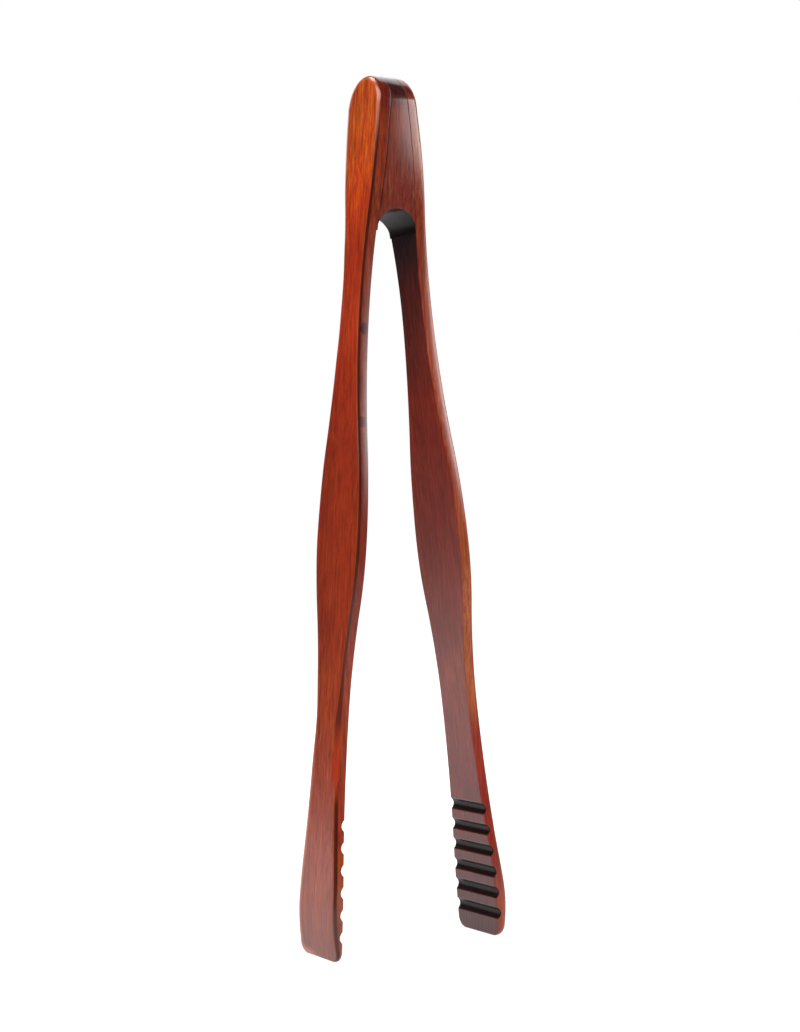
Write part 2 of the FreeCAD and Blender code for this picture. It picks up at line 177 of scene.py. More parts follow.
def arc_through(z, start, slope, end):
    """Where the arc that leaves start along a slope dx/dz and reaches end stands at z."""
    run = math.hypot(slope, 1.0)
    normal = (1.0 / run, -slope / run)
    chord = (end[0] - start[0], end[1] - start[1])
    reach = (chord[0] ** 2 + chord[1] ** 2) / (2 * (chord[0] * normal[0] + chord[1] * normal[1]))
    centre = (start[0] + normal[0] * reach, start[1] + normal[1] * reach)
    half = math.sqrt(max(0.0, reach ** 2 - (z - centre[1]) ** 2))
    return centre[0] - math.copysign(half, reach)


def outer_line(z):
    """The outer face of a board, with its nose."""
    slope = (BOARD_HEAD - BOARD_TIP) / HEIGHT - LEAN

    def straight(height):
        return TIP_REACH + BOARD_TIP + slope * height

    if z < NOSE_LENGTH:
        nose_start = (straight(NOSE_LENGTH), NOSE_LENGTH)
        return arc_through(z, nose_start, slope, (grip_line(0.0) + NOSE_EDGE, 0.0))
    return straight(z)


def groove(z):
    """Depth of the grooves across the gripping face at a height, with eased lips."""
    depth = 0.0
    for index in range(GROOVE_COUNT):
        off = abs(z - GROOVE_FIRST - GROOVE_PITCH * index)
        round_cut = math.sqrt(max(0.0, GROOVE_RADIUS ** 2 - off ** 2)) - GROOVE_OFFSET
        if off > GROOVE_RADIUS:
            round_cut -= off - GROOVE_RADIUS
        overlap = max(0.0, GROOVE_LIP - abs(round_cut)) / GROOVE_LIP
        depth = max(depth, max(round_cut, 0.0) + overlap ** 2 * GROOVE_LIP / 4)
    return depth


def bump_at(z, middle, spread):
    """One at middle, falling smoothly to nothing a spread away."""
    off = min(1.0, abs(z - middle) / spread)
    return (1 - off * off) ** 2


def inset(y, z):
    """How far a place on a face is from the board's edge."""
    if z > HEAD_CENTRE:
        return HEAD_RADIUS - math.hypot(y, z - HEAD_CENTRE)
    if z < TIP_CORNER:
        past = abs(y) - (STATIONS[0][1] - TIP_CORNER)
        return TIP_CORNER - math.hypot(max(0.0, past), TIP_CORNER - z)
    return half_width(z) - abs(y)


def across(z, edge):
    """How far from the middle a place stands that is about so far in from the edge."""
    width = half_width(z)
    if z > HEAD_CENTRE:
        lost = (HEAD_RADIUS ** 2 - (HEAD_RADIUS - edge) ** 2) / max(width, 0.05) ** 2
        return width / math.sqrt(1 + lost)
    return width - edge


def fall(edge, reach, drop):
    """How far an edge rounded over reach and drop has fallen below its face, so far in."""
    if edge >= reach:
        return 0.0
    return drop * (1 - math.sqrt(max(0.0, 1 - (1 - edge / reach) ** 2)))


def smooth(low, high, value):
    """Zero below low and one above high, eased at both ends."""
    t = min(1.0, max(0.0, (value - low) / (high - low)))
    return t * t * (3 - 2 * t)


def between(rows, z):
    """A value read off rows of height and value, eased from one to the next."""
    for (low, first), (high, second) in zip(rows, rows[1:]):
        if z <= high:
            return first + (second - first) * smooth(low, high, z)
    return rows[-1][1]


def facet(z):
    """How much of the facet's width is there: a long taper above and a blunt end below."""
    taper = smooth(FACET_FOOT + FACET_FULL, FACET_TOP, z)
    return smooth(FACET_FOOT, FACET_FOOT + FACET_BLUNT, z) * (1 - taper)


def bulge(x, z):
    """How far the front or back of the tongs stands out at a place across and up."""
    inside, outside = grip_line(z), outer_line(z)
    part = min(1.0, max(0.0, (abs(x) - inside) / (outside - inside)))
    own = STRIP_BULGE * (1 - (2 * part - 1) ** 2)
    whole = HEAD_BULGE * (1 - min(1.0, abs(x) / outside) ** 2)
    share = smooth(*HEAD_BLENDS, z)
    return own * (1 - share) + whole * share


def stand_out(x, y, z):
    """Y with the gentle rounding of the front and back added to it."""
    width = HEAD_RADIUS if z > HEAD_CENTRE else half_width(z)
    lift = bulge(x, z)
    if y > 0:
        lift += BACK_SWELL * bump_at(z, *BACK_PLACE)
    return y * (1 + lift / width)


# ---------------------------------------------------------------- what a user may change
class TongsSizes(bpy.types.PropertyGroup):
    """Sizes of the details that are added to the plain boards."""

    front_ease: FloatProperty(
        name="Front edge", description="Rounding of the outer edge on the front of an arm",
        default=0.5 * MM, min=0.0, soft_max=2 * MM, unit="LENGTH", precision=5)
    back_ease: FloatProperty(
        name="Back edge", description="Rounding of the back outer edge, as a share of the usual",
        default=1.0, min=0.1, soft_max=1.5)
    inner_ease: FloatProperty(
        name="Inner edges", description="Rounding of the two inner edges of an arm",
        default=0.25 * MM, min=0.0, soft_max=1 * MM, unit="LENGTH", precision=5)
    wedge_ease: FloatProperty(
        name="Wedge edges", description="Rounding of the edges of the wedge and its arch",
        default=0.3 * MM, min=0.0, soft_max=1 * MM, unit="LENGTH", precision=5)
    grain_width: FloatProperty(
        name="Grain width", description="Width of one streak of the grain",
        default=0.85 * MM, min=0.1 * MM, soft_max=5 * MM, unit="LENGTH", precision=5)
    grain_length: FloatProperty(
        name="Grain length", description="Length of one streak of the grain",
        default=55 * MM, min=MM, soft_max=200 * MM, unit="LENGTH", precision=4)
    pore_width: FloatProperty(
        name="Pore width", description="Width of the fine dark pores",
        default=0.28 * MM, min=0.05 * MM, soft_max=1 * MM, unit="LENGTH", precision=5)
    pore_length: FloatProperty(
        name="Pore length", description="Length of the fine dark pores",
        default=5.5 * MM, min=0.5 * MM, soft_max=20 * MM, unit="LENGTH", precision=4)
    row_step: FloatProperty(
        name="Row height", description="Height of a row of faces on the plain part of an arm",
        default=2 * MM, min=0.5 * MM, soft_max=10 * MM, unit="LENGTH", precision=4)
    arch_segments: IntProperty(
        name="Arch segments", description="Faces round the arch of the wedge",
        default=28, min=8, soft_max=64)


class TongsColours(bpy.types.PropertyGroup):
    """Colours of the stain and of its worn and dark places, with a painted sheen by the back edge and
    painted shade in the dark line and the grooves.
    """

    dark_grain: FloatVectorProperty(
        name="Dark grain", description="Late wood and pores, which take up more stain",
        subtype="COLOR", size=4, min=0.0, max=1.0, default=linear("6b200f"))
    # painted sheen: a pale reflection along the back edge of the outer faces
    back_edge_sheen: FloatVectorProperty(
        name="Pale edge", description="Paler wood along the back edge of the outer faces",
        subtype="COLOR", size=4, min=0.0, max=1.0, default=linear("d88464"))
    # darker stain and painted shade beside the outer front edge; the chips and the wedge's glue lines
    # share this colour
    dark_line_and_shade: FloatVectorProperty(
        name="Dark line", description="Line of stain left beside the outer edge on the front",
        subtype="COLOR", size=4, min=0.0, max=1.0, default=linear("3c0f08"))
    # painted shade over dark stain in the grooves and under the arch
    groove_stain_and_shade: FloatVectorProperty(
        name="Groove floor", description="Scorched and stained floors of the grooves",
        subtype="COLOR", size=4, min=0.0, max=1.0, default=linear("1c0d0c"))
    glue: FloatVectorProperty(
        name="Glue", description="Dark glue between wedge and arms",
        subtype="COLOR", size=4, min=0.0, max=1.0, default=linear("3a1410"))
    floor: FloatVectorProperty(
        name="Floor", description="Plain pale floor under the tongs",
        subtype="COLOR", size=4, min=0.0, max=1.0, default=linear("ffffff"))


# ---------------------------------------------------------------- small helpers
def add_node(tree, kind, inputs=None, stops=None, **settings):
    """Add one node, with its settings, its values or links, and a ramp's stops."""
    node = tree.nodes.new(kind)
    for name, value in settings.items():
        setattr(node, name, value)
    for key, value in (inputs or {}).items():
        if isinstance(value, bpy.types.NodeSocket):
            tree.links.new(value, node.inputs[key])
        else:
            node.inputs[key].default_value = value
    if stops:
        points = node.color_ramp.elements
        while len(points) < len(stops):
            points.new(1.0)
        for point, (place, colour) in zip(points, stops):
            point.position = place
            if isinstance(colour, str):
                colour = linear(colour)
            elif isinstance(colour, float):
                colour = (colour, colour, colour, 1.0)
            point.color = colour
    return node


def object_from(bm, name, material):
    """Turn a finished bmesh into an object that sits at the origin."""
    mesh = bpy.data.meshes.new(name)
    bm.to_mesh(mesh)
    bm.free()
    mesh.shade_smooth()
    mesh.materials.append(material)
    piece = bpy.data.objects.new(name, mesh)
    bpy.context.scene.collection.objects.link(piece)
    return piece


def grow_ring(bm, ring):
    """Carry a closed ring of vertices on by one row of faces, and give the new ring in order."""
    edges = [bm.edges.get((a, b)) for a, b in zip(ring, ring[1:] + ring[:1])]
    grown = bmesh.ops.extrude_edge_only(bm, edges=edges)["geom"]
    fresh = set(item for item in grown if isinstance(item, bmesh.types.BMVert))
    return [next(e.other_vert(v) for e in v.link_edges if e.other_vert(v) in fresh) for v in ring]


def close_ends(bm, foot, top):
    """Close both ends of a tube of rings, and turn its faces outwards."""
    bmesh.ops.contextual_create(bm, geom=foot)
    bmesh.ops.contextual_create(bm, geom=top)
    bmesh.ops.recalc_face_normals(bm, faces=bm.faces)


def keep_faces_flat(piece):
    """Let the wide faces lead the shading, so that only the rounded edges look round."""
    weighted = piece.modifiers.new("wide faces lead", "WEIGHTED_NORMAL")
    weighted.mode = "FACE_AREA"
    weighted.keep_sharp = True


# ---------------------------------------------------------------- the arms
GROOVE_STEP = 0.32        # height of a row of faces over the grooves, mm
CROWN_FLAT = 0.003        # the topmost ring lies this far under the top, mm

# How many faces each stretch of a ring has, going round from the inner front edge.
RING = (
    ("inner", 12), ("inner_back", 3), ("back", 4), ("outer_back", 8),
    ("outer", 14), ("outer_front", 8), ("front", 8), ("inner_front", 3),
)


def rounding(z, side, sizes):
    """(reach, drop) of the rounded outer front, outer back and inner edges at a height."""
    room = outer_line(z) - grip_line(z) - groove(z)
    inner = min(sizes.inner_ease / MM * (1 - THROAT_LOSS * smooth(*THROAT, z)), room * 0.25)
    head = smooth(*HEAD_ROUNDS, z)
    reach, drop = sizes.front_ease / MM + HEAD_REACH * head, RIGHT_DROP + RIGHT_HEAD_DROP * head
    if side < 0:
        tip, cut_away = 1 - smooth(*TIP_ROUNDS, z), facet(z)
        reach += (FACET_WIDTH * cut_away + LEFT_CROWN_REACH * smooth(*CROWN_ROUNDS, z)
                  + LEFT_TIP_REACH * tip)
        drop = (LEFT_DROP + LEFT_UPPER_DROP * smooth(*UPPER_ROUNDS, z) + FACET_DROP * cut_away
                + LEFT_HEAD_DROP * head + LEFT_TIP_DROP * tip)
    back = between(BACK_EDGE, z) * sizes.back_ease
    # near the floor every rounding shrinks with the height, so that the tip's end stays square
    limit = min(room * 0.7, 0.55 + 0.2 * z)
    front_edge = (min(reach, 0.4 + 0.1 * z), min(drop, limit))
    return front_edge, (min(back, 0.8 + 0.2 * z), min(back, limit)), (inner, inner)


def ring_places(z, side, sizes):
    """Each place of the ring at a height: x, y, depth under the outer face, inset and facing."""
    front, back, inner = rounding(z, side, sizes)
    inside, outside = grip_line(z) + groove(z), outer_line(z)
    if side > 0:
        outside += NOSE_SWELL * bump_at(z, *NOSE_PLACE)
    width = half_width(z)
    head = smooth(HEAD_CENTRE - 4, HEIGHT, z)

    def edge_at(y):
        """The rounding that counts at y; near the crown the front one runs into the back one."""
        share = float(y > 0) * (1 - head) + smooth(-0.6, 0.25, y / HEAD_RADIUS) * head
        return [f + (b - f) * share for f, b in zip(front, back)]

    places = []
    for stretch, count in RING:
        for step in range(count):
            t = step / count
            angle = t * math.pi / 2
            if stretch in ("back", "front"):
                y = width if stretch == "back" else -width
                near, far = inside + inner[1], outside - edge_at(y)[1]
                x = near + (far - near) * (t if stretch == "back" else 1 - t)
                places.append((x, y, outside - x, 0.0, 0.0))
                continue
            if stretch == "inner":
                y = across(z, inner[0]) * (2 * t - 1)
            elif stretch == "outer":
                y = across(z, back[0]) + (-across(z, front[0]) - across(z, back[0])) * t
            elif stretch == "inner_back":
                y = across(z, inner[0] * (1 - math.sin(angle)))
            elif stretch == "inner_front":
                y = -across(z, inner[0] * (1 - math.cos(angle)))
            elif stretch == "outer_back":
                y = across(z, back[0] * (1 - math.cos(angle)))
            else:
                y = -across(z, front[0] * (1 - math.sin(angle)))
            edge = inset(y, z)
            outer = stretch.startswith("outer")
            reach, drop = edge_at(y) if outer else inner
            fallen = fall(edge, reach, drop)
            if outer and side < 0 and y < 0:
                plain = drop * max(0.0, 1 - edge / reach)
                fallen += (plain - fallen) * FACET_FLATNESS * facet(z)
            turned = math.sqrt(max(0.0, 1 - (1 - min(1.0, edge / reach)) ** 2))
            x = outside - fallen if outer else inside + fallen
            places.append((x, y, outside - x, edge, turned if outer else -turned))
    return places


def row_heights(sizes):
    """Heights of the rings: close together at the tip, the grooves, the facet and the crown."""
    step = sizes.row_step / MM
    heights = [TIP_CORNER * (1 - math.cos(math.radians(a))) for a in range(0, 90, 7)]
    z = TIP_CORNER
    while z < GROOVE_FIRST + GROOVE_PITCH * (GROOVE_COUNT - 1) + 3:
        heights.append(z)
        z += GROOVE_STEP
    while z < HEAD_CENTRE:
        heights.append(z)
        z += step / 2 if z < FACET_TOP else step
    heights += [HEAD_CENTRE + HEAD_RADIUS * math.sin(math.radians(a)) for a in range(0, 89, 3)]
    heights.append(HEIGHT - CROWN_FLAT)
    return heights


def build_arm(name, side, sizes, material):
    """One board, drawn ring by ring from the tip to the crown; side is -1 or 1 along X."""
    bm = bmesh.new()
    rest = bm.verts.layers.float_vector.new("rest")
    board = bm.verts.layers.float_vector.new("board")
    facing = bm.verts.layers.float.new("facing")
    cut = bm.verts.layers.float.new("cut")

    def lay(ring, z):
        for vert, (x, y, depth, edge, face) in zip(ring, ring_places(z, side, sizes)):
            vert.co = Vector((side * x, stand_out(x, y, z), z)) * MM
            vert[rest] = vert.co
            vert[board] = (depth, edge, z)
            vert[facing] = face
            vert[cut] = groove(z) / GROOVE_DEPTH if face < 0 else 0.0

    count = sum(faces for _, faces in RING)
    ring = bmesh.ops.create_circle(bm, cap_ends=False, segments=count, radius=0.01)["verts"]
    heights = row_heights(sizes)
    lay(ring, heights[0])
    foot = list(ring)
    for z in heights[1:]:
        ring = grow_ring(bm, ring)
        lay(ring, z)
    close_ends(bm, foot, ring)
    piece = object_from(bm, name, material)
    keep_faces_flat(piece)
    return piece


# ---------------------------------------------------------------- finishes
# Stain and painted light up the boards: a height in mm and the colour there.  The outer face, the
# left arm's narrow side, the right arm's, the inner face and the wedge each have their own stops.
# outer face: the paler, pinker colour low on the blade is a painted sheen, a reflection of the pale
# surroundings
OUTER_STAIN_AND_SHEEN = (
    (0, "903a26"), (20, "9a3e28"), (45, "9c3e28"), (65, "aa4226"), (85, "a23c1c"), (110, "983014"),
    (150, "9a2e10"), (200, "a42c0c"), (215, "b03412"), (235, "a42c0a"), (255, "bc3a08"), (275, "c44c10"),
    (300, "bc4614"))
# narrow front sides: partly painted light and shade up their length; the right arm's orange stretch above
# the grip is painted light, and the darkening at the crown is a painted dark reflection
LEFT_EDGE_STAIN_AND_LIGHT = (
    (0, "a84c20"), (20, "b04e20"), (36, "a84018"), (46, "a23014"), (75, "a83e1c"),
    (120, "90301a"), (150, "863020"), (170, "84301e"), (210, "7e3022"), (232, "8c301c"),
    (250, "92341a"), (278, "98381a"), (289, "7c200c"), (300, "641408"))
RIGHT_EDGE_STAIN_AND_LIGHT = (
    (0, "b0521e"), (14, "a8401e"), (26, "902e1c"), (40, "a02c1c"), (70, "a83220"), (82, "c86232"),
    (120, "c4602e"), (145, "b85430"), (160, "a44a30"), (210, "a44a34"), (250, "983818"),
    (276, "a04a30"), (289, "90341c"), (294, "701a0a"), (300, "5c1408"))
# inner face: the darkening to nearly black towards the arch and under the wedge is painted shade
INNER_STAIN_AND_SHADE = (
    (0, "4e1216"), (30, "681c1c"), (50, "842620"), (90, "9c3c2c"), (140, "923426"), (188, "8a2a1a"),
    (193, "7c281c"), (225, "62201c"), (238, "421a1a"), (246, "261113"), (300, "200e10"))
# wedge: the dark band over the crown is a painted dark reflection, and the greyer top is a painted
# reflection of the light above
WEDGE_STAIN_AND_LIGHT = (
    (0, "5a2418"), (245, "842c1a"), (262, "8e3626"), (275, "8a3c2c"), (286, "8a3c2c"), (289, "6c241a"),
    (291, "4a1410"), (296, "380c0c"), (300, "4a2a26"))
# outer edges rubbed paler, with a painted highlight along their rounding: a height in mm and the colour
# there
WORN_EDGE_AND_GLINT = (
    (0, "a8481e"), (50, "a8401a"), (60, "b8300e"), (98, "b43410"), (112, "c05a24"), (300, "c8622a"))

# How strong a thing is up the boards: a height in mm and a share.
# strength of the painted sheen along the back edge of the outer face
BACK_SHEEN_SHARE = (
    (0, 0.85), (60, 1.0), (85, 0.85), (105, 0.2), (140, 0.0), (235, 0.0), (246, 0.2), (262, 0.45),
    (285, 0.8), (300, 0.7))
# strength of the dark line on the left arm: darker stain with painted shade
DARK_LINE_AND_SHADE = ((0, 0.9), (52, 0.9), (57, 0.0), (70, 0.0), (80, 0.8), (275, 0.9), (286, 0.2), (291, 0.0))
WEDGE_LINE = ((0, 0.55), (262, 0.6), (285, 0.75), (291, 0.2))
FLECKS = ((0, 0.15), (195, 0.2), (212, 0.5), (240, 0.4), (255, 0.8), (300, 1.0))
NO_LINE = ((0, 0.0), (300, 0.0))

# the two small chips in the front of the left arm, in metres, and one over their reach
CHIPS = ((-0.0133, -0.0068, 0.212), (-0.0165, -0.0097, 0.180))
CHIP_SCALE = (550.0, 300.0, 420.0)

# size of one patch of each pattern along X, Y and Z, mm
WANDER = (20.0, 20.0, 60.0)
WANDER_REACH = (0.006, 0.006, 0.0)    # how far the streaks wander, in metres
CLOUDS = (12.0, 12.0, 35.0)
FLECK = (1.1, 1.1, 14.0)
RAGGED = (1.6, 1.6, 1.6)


def in_spans(tree, place, spans):
    """A place in the wood counted in spans along X, Y and Z, for a pattern of that size."""
    counts = tuple(1.0 / span for span in spans)
    return add_node(tree, "ShaderNodeVectorMath", {0: place, 1: counts}, operation="MULTIPLY").outputs[0]


def up_the_board(stops):
    """Heights in mm and values, as stops of a ramp that runs from the floor to the top."""
    return [(height / HEIGHT, value) for height, value in stops]


def stained_hardwood(name, sizes, colours, outer, edge, inner, dark_line_and_shade):
    """Red-brown stained hardwood under a clear lacquer, sanded and polished by hand.

    It gives the eye long wandering streaks with fine dark pores, edges rubbed to orange with a
    painted highlight on them and a dark line beside them of darker stain and painted shade, grooves and
    an arch painted nearly black as shade over dark stain, and a wet gloss that softens into a pale sheen,
    painted paler along the back edge.  outer, edge and inner are stops of colour along the height of the
    board, which hold painted light and shade as well as stain, and the last argument says how strong the
    line is.
    """
    material = bpy.data.materials.new(name)
    material.use_nodes = True
    tree = material.node_tree
    tree.nodes.clear()

    rest = add_node(tree, "ShaderNodeAttribute", attribute_name="rest").outputs["Vector"]
    board = add_node(tree, "ShaderNodeAttribute", attribute_name="board").outputs["Vector"]
    facing = add_node(tree, "ShaderNodeAttribute", attribute_name="facing").outputs["Fac"]
    cut = add_node(tree, "ShaderNodeAttribute", attribute_name="cut").outputs["Fac"]
    depth, from_edge, height = add_node(tree, "ShaderNodeSeparateXYZ", {0: board}).outputs
    backwards = add_node(tree, "ShaderNodeSeparateXYZ", {0: rest}).outputs["Y"]

    # streaks and pores that wander a little along the board
    wander = add_node(tree, "ShaderNodeTexNoise", {
        "Vector": in_spans(tree, rest, [span * MM for span in WANDER]), "Scale": 1.0, "Detail": 2.0})
    drift = add_node(tree, "ShaderNodeVectorMath", {
        0: wander.outputs["Color"], 1: WANDER_REACH}, operation="MULTIPLY")
    bent = add_node(tree, "ShaderNodeVectorMath", {
        0: rest, 1: drift.outputs[0]}, operation="ADD").outputs[0]
    grain = add_node(tree, "ShaderNodeTexNoise", {
        "Vector": in_spans(tree, bent, (sizes.grain_width, sizes.grain_width, sizes.grain_length)),
        "Scale": 1.0, "Detail": 5.0, "Roughness": 0.6}).outputs["Fac"]
    pores = add_node(tree, "ShaderNodeTexNoise", {
        "Vector": in_spans(tree, bent, (sizes.pore_width, sizes.pore_width, sizes.pore_length)),
        "Scale": 1.0, "Detail": 2.0, "Roughness": 0.5}).outputs["Fac"]
    clouds, flecks, ragged = (
        add_node(tree, "ShaderNodeTexNoise", {
            "Vector": in_spans(tree, rest, [span * MM for span in spans]),
            "Scale": 1.0, "Detail": 3.0}).outputs["Fac"]
        for spans in (CLOUDS, FLECK, RAGGED))

    # colours and strengths that change up the board
    along = add_node(tree, "ShaderNodeMath", {0: height, 1: 1 / HEIGHT}, operation="MULTIPLY").outputs[0]
    outer_run, edge_run, inner_run, worn_and_glint_run, fleck_run, back_sheen_run, line_run = (
        add_node(tree, "ShaderNodeValToRGB", {0: along}, stops=up_the_board(stops)).outputs[0]
        for stops in (outer, edge, inner, WORN_EDGE_AND_GLINT, FLECKS, BACK_SHEEN_SHARE, dark_line_and_shade))

    # masks: each starts at the first number and is full at the second
    on_outer, on_inner, ridge, flank, outward, margin, behind, near, far, deep = (
        add_node(tree, "ShaderNodeMapRange", {
            "Value": value, "From Min": start, "From Max": full},
            interpolation_type="SMOOTHSTEP").outputs[0]
        for value, start, full in (
            (facing, 0.45, 0.95), (facing, -0.45, -0.95), (facing, 0.25, 0.6), (facing, 1.0, 0.9),
            (facing, 0.1, 0.4), (from_edge, 3.6, 0.4), (backwards, 0.0, 0.008),
            (depth, 0.04, 0.22), (depth, 1.35, 0.8), (cut, 0.01, 0.16)))
    on_front = add_node(tree, "ShaderNodeMath", {0: backwards, 1: 0.0}, operation="LESS_THAN").outputs[0]

    # dark late wood and pale early wood, broad clouds, short flecks, and fine dark pores
    tone = add_node(tree, "ShaderNodeValToRGB", {0: grain}, stops=[
        (0.30, (0.55, 0.42, 0.40, 1.0)), (0.42, (0.84, 0.76, 0.74, 1.0)), (0.52, 1.0),
        (0.60, (1.12, 1.26, 1.15, 1.0)), (0.72, (1.3, 1.8, 1.4, 1.0))]).outputs[0]
    cloud_tone = add_node(tree, "ShaderNodeValToRGB", {0: clouds}, stops=[
        (0.3, 0.78), (0.5, 1.0), (0.7, 1.16)]).outputs[0]
    fleck_tone = add_node(tree, "ShaderNodeValToRGB", {0: flecks}, stops=[
        (0.34, (0.62, 0.45, 0.4, 1.0)), (0.45, 1.0), (0.55, 1.0), (0.66, (1.1, 1.9, 1.7, 1.0))]).outputs[0]
    open_pore = add_node(tree, "ShaderNodeMapRange", {
        "Value": pores, "From Min": 0.58, "From Max": 0.70, "To Max": 0.65}).outputs[0]

    # what lies on the stain, from the first to the last: its masks, its colour and its way
    layers = [
        ((1.0,), tone, "MULTIPLY"),
        ((1.0,), cloud_tone, "MULTIPLY"),
        ((fleck_run,), fleck_tone, "MULTIPLY"),
        ((open_pore,), tuple(colours.dark_grain), "MIX"),
        # the outer edges are rubbed paler in places, with a painted highlight along their rounding
        ((ridge, flank, clouds), worn_and_glint_run, "MIX"),
        # painted sheen: the outer face is paler towards the back edge, at the blade and the head, as a
        # painted reflection in its rounding
        ((margin, behind, back_sheen_run, outward), tuple(colours.back_edge_sheen), "MIX"),
        # a dark line lies beside the outer edge on the front: darker stain, and painted shade for the dark
        # reflection in the rounding there
        ((near, far, on_front, line_run), tuple(colours.dark_line_and_shade), "MIX"),
    ]
    for centre in CHIPS:
        apart = add_node(tree, "ShaderNodeVectorMath", {0: rest, 1: centre}, operation="SUBTRACT")
        shape = add_node(tree, "ShaderNodeVectorMath", {
            0: apart.outputs[0], 1: CHIP_SCALE}, operation="MULTIPLY")
        reach = add_node(tree, "ShaderNodeVectorMath", {0: shape.outputs[0]}, operation="LENGTH")
        torn = add_node(tree, "ShaderNodeMath", {
            0: ragged, 1: 1.6, 2: reach.outputs["Value"]}, operation="MULTIPLY_ADD")
        chip = add_node(tree, "ShaderNodeMapRange", {
            "Value": torn.outputs[0], "From Min": 1.75, "From Max": 1.45, "To Max": 0.8})
        layers.append(((chip.outputs[0],), tuple(colours.dark_line_and_shade), "MIX"))
    # the grooves and the arch are painted nearly black: dark stain, and painted shade in these hollows
    layers.append(((deep,), tuple(colours.groove_stain_and_shade), "MIX"))

    # the colour starts from the face ramps, which hold painted light and shade as well as the stain
    stain = edge_run
    for mask, run in ((on_outer, outer_run), (on_inner, inner_run)):
        stain = add_node(tree, "ShaderNodeMix", {
            "Factor": mask, 6: stain, 7: run}, data_type="RGBA").outputs[2]
    for masks, colour, way in layers:
        strength = masks[0]
        for mask in masks[1:]:
            strength = add_node(tree, "ShaderNodeMath", {
                0: strength, 1: mask}, operation="MULTIPLY").outputs[0]
        stain = add_node(tree, "ShaderNodeMix", {
            "Factor": strength, 6: stain, 7: colour}, data_type="RGBA", blend_type=way).outputs[2]

    # the lacquer is thin in the grooves, and shows the grain and the pores as a slight relief
    coat = add_node(tree, "ShaderNodeMath", {0: deep, 1: -0.72, 2: 1.0}, operation="MULTIPLY_ADD")
    gloss = add_node(tree, "ShaderNodeMapRange", {
        "Value": grain, "From Min": 0.3, "From Max": 0.7, "To Min": 0.35, "To Max": 0.5})
    relief = add_node(tree, "ShaderNodeMath", {0: grain, 1: pores}, operation="SUBTRACT")
    bump = add_node(tree, "ShaderNodeBump", {
        "Height": relief.outputs[0], "Strength": 0.5, "Distance": 0.00016})
    shader = add_node(tree, "ShaderNodeBsdfPrincipled", {
        "Base Color": stain, "Roughness": gloss.outputs[0], "IOR": 1.5,
        "Specular IOR Level": 0.06, "Coat Weight": coat.outputs[0], "Coat Roughness": 0.17,
        "Coat IOR": 1.5, "Normal": bump.outputs[0]})
    add_node(tree, "ShaderNodeOutputMaterial", {"Surface": shader.outputs[0]})
    return material


def dark_glue(name, colours):
    """Cured wood glue, stained over: a nearly black, slightly glossy hairline."""
    material = bpy.data.materials.new(name)
    material.use_nodes = True
    tree = material.node_tree
    tree.nodes.clear()
    place = add_node(tree, "ShaderNodeTexCoord")
    noise = add_node(tree, "ShaderNodeTexNoise", {
        "Vector": place.outputs["Object"], "Scale": 900.0, "Detail": 2.0})
    shade = add_node(tree, "ShaderNodeMix", {
        "Factor": noise.outputs["Fac"], 6: tuple(colours.glue), 7: linear("1e0a08")}, data_type="RGBA")
    shader = add_node(tree, "ShaderNodeBsdfPrincipled", {
        "Base Color": shade.outputs[2], "Roughness": 0.4, "IOR": 1.47})
    add_node(tree, "ShaderNodeOutputMaterial", {"Surface": shader.outputs[0]})
    return material


# ---------------------------------------------------------------- the wedge and its glue
WEDGE_CLIMBS = 16         # rows of faces up the straight part of the wedge's front
CROWN_TURN = 6            # degrees that one row takes on the crown
SHARP = math.radians(40)  # edges that turn by more than this are rounded
SIDE_SHARE = 0.35         # the wedge's other edges are rounded less than its arch
GLUE_SET_BACK = 0.12      # the glue lies this far inside the boards' edges, mm
GLUE_CLEAR = 0.05         # and starts this far above the arch's feet
GLUE_ROWS, GLUE_STEP = 29, 1.5


def on_arch(vert):
    """Whether a vertex of the wedge lies on the underside of its arch."""
    across_arch = vert.co.x / MM * ARCH_RADIUS / ARCH_REACH
    return math.hypot(across_arch, vert.co.z / MM - ARCH_HEIGHT) < ARCH_RADIUS + 0.05


